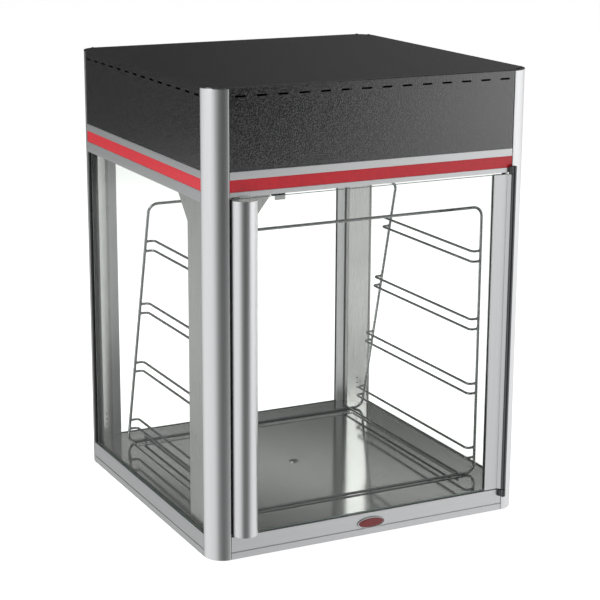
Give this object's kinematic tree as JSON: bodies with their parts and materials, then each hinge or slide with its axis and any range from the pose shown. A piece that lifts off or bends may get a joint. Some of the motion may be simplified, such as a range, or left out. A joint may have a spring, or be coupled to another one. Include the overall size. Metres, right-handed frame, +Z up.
{
  "type": "food holding cabinet",
  "caption": "Countertop heated food holding cabinet with glass sides, hinged glass door, wire pan rack, black slotted header and aluminium corner posts.",
  "frame": {"origin": "middle of the underside, on the surface that the cabinet stands on", "axes": "+Z up, +X to the right as seen from the front, the door faces -Y"},
  "size_m": [0.573, 0.604, 0.7577],
  "materials": {
    "anodised_aluminium": "satin anodised",
    "black_powder_coat": "fine textured powder coat",
    "red_stripe": "satin",
    "brushed_stainless": "brushed",
    "galvanised_sheet": "spangled zinc",
    "polished_steel": "polished",
    "chrome_wire": "bright chrome",
    "tempered_glass": "clear",
    "black_rubber": "matte",
    "black_plastic": "moulded",
    "black_label_plate": "semi gloss",
    "badge_enamel": "gloss",
    "cast_housing": "painted",
    "fan_aluminium": "mill",
    "heater_sheath": "heat tinted",
    "bulb_glass": "frosted"
  },
  "bodies": {
    "cabinet": {"air_heater": "heater_sheath", "badge": "badge_enamel", "base_plate": "galvanised_sheet", "base_rail_front": "anodised_aluminium", "base_rail_left": "anodised_aluminium", "base_rail_rear": "anodised_aluminium", "base_rail_right": "anodised_aluminium", "ceiling_panel": "brushed_stainless", "control_plate": "black_label_plate", "cord_gland": "black_plastic", "duct_front_left": "brushed_stainless", "duct_rear_left": "brushed_stainless", "duct_rear_right": "brushed_stainless", "fan_motor": "cast_housing", "floor_ledge": "brushed_stainless", "floor_pan": "brushed_stainless", "floor_plug": "polished_steel", "floor_supports": "galvanised_sheet", "foot_pads": "black_rubber", "glass_left": "tempered_glass", "glass_rear": "tempered_glass", "glass_right": "tempered_glass", "glazing_gaskets": "black_rubber", "header_panel_front": "black_powder_coat", "header_panel_left": "black_powder_coat", "header_panel_rear": "black_powder_coat", "header_panel_right": "black_powder_coat", "hinge_brackets": "brushed_stainless", "lamp_bulb": "bulb_glass", "lamp_holder": "galvanised_sheet", "magnetic_catch": "black_plastic", "panel_screws": "polished_steel", "plenum_box": "galvanised_sheet", "post_cover_front_right": "brushed_stainless", "post_front_left": "anodised_aluminium", "post_front_right": "anodised_aluminium", "post_rear_left": "anodised_aluminium", "post_rear_right": "anodised_aluminium", "rack_floor_wires": "chrome_wire", "rack_front_frame": "chrome_wire", "rack_rear_frame": "chrome_wire", "rack_slides": "chrome_wire", "rear_stiles": "anodised_aluminium", "stripe_inserts": "red_stripe", "switch_bodies": "black_plastic", "thermostat_body": "black_plastic", "top_cover": "black_powder_coat", "trim_rail_front": "anodised_aluminium", "trim_rail_left": "anodised_aluminium", "trim_rail_rear": "anodised_aluminium", "trim_rail_right": "anodised_aluminium"},
    "door": {"door_glass": "tempered_glass", "door_handle": "anodised_aluminium", "door_stile": "anodised_aluminium", "door_pins": "polished_steel", "door_strikes": "brushed_stainless"},
    "power_rocker": {"power_rocker": "black_plastic"},
    "light_rocker": {"light_rocker": "black_plastic"},
    "thermostat_knob": {"thermostat_knob": "black_plastic"},
    "fan_wheel": {"fan_impeller": "fan_aluminium"}
  },
  "joints": [
    {"name": "door_hinge", "type": "hinge", "parent": "cabinet", "child": "door", "pos_m": [0.253, -0.287, 0.314], "axis": [0, 0, 1], "range_deg": [0, 150]},
    {"name": "power_switch", "type": "hinge", "parent": "cabinet", "child": "power_rocker", "pos_m": [0.04, 0.2827, 0.69], "axis": [1, 0, 0], "range_deg": [0, 18]},
    {"name": "light_switch", "type": "hinge", "parent": "cabinet", "child": "light_rocker", "pos_m": [0.01, 0.2827, 0.69], "axis": [1, 0, 0], "range_deg": [0, 18]},
    {"name": "temperature_knob", "type": "hinge", "parent": "cabinet", "child": "thermostat_knob", "pos_m": [-0.038, 0.285, 0.69], "axis": [0, -1, 0], "range_deg": [0, 270]},
    {"name": "fan_spin", "type": "hinge", "parent": "cabinet", "child": "fan_wheel", "pos_m": [0, 0.03, 0.62], "axis": [0, 0, 1], "continuous": true}
  ]
}
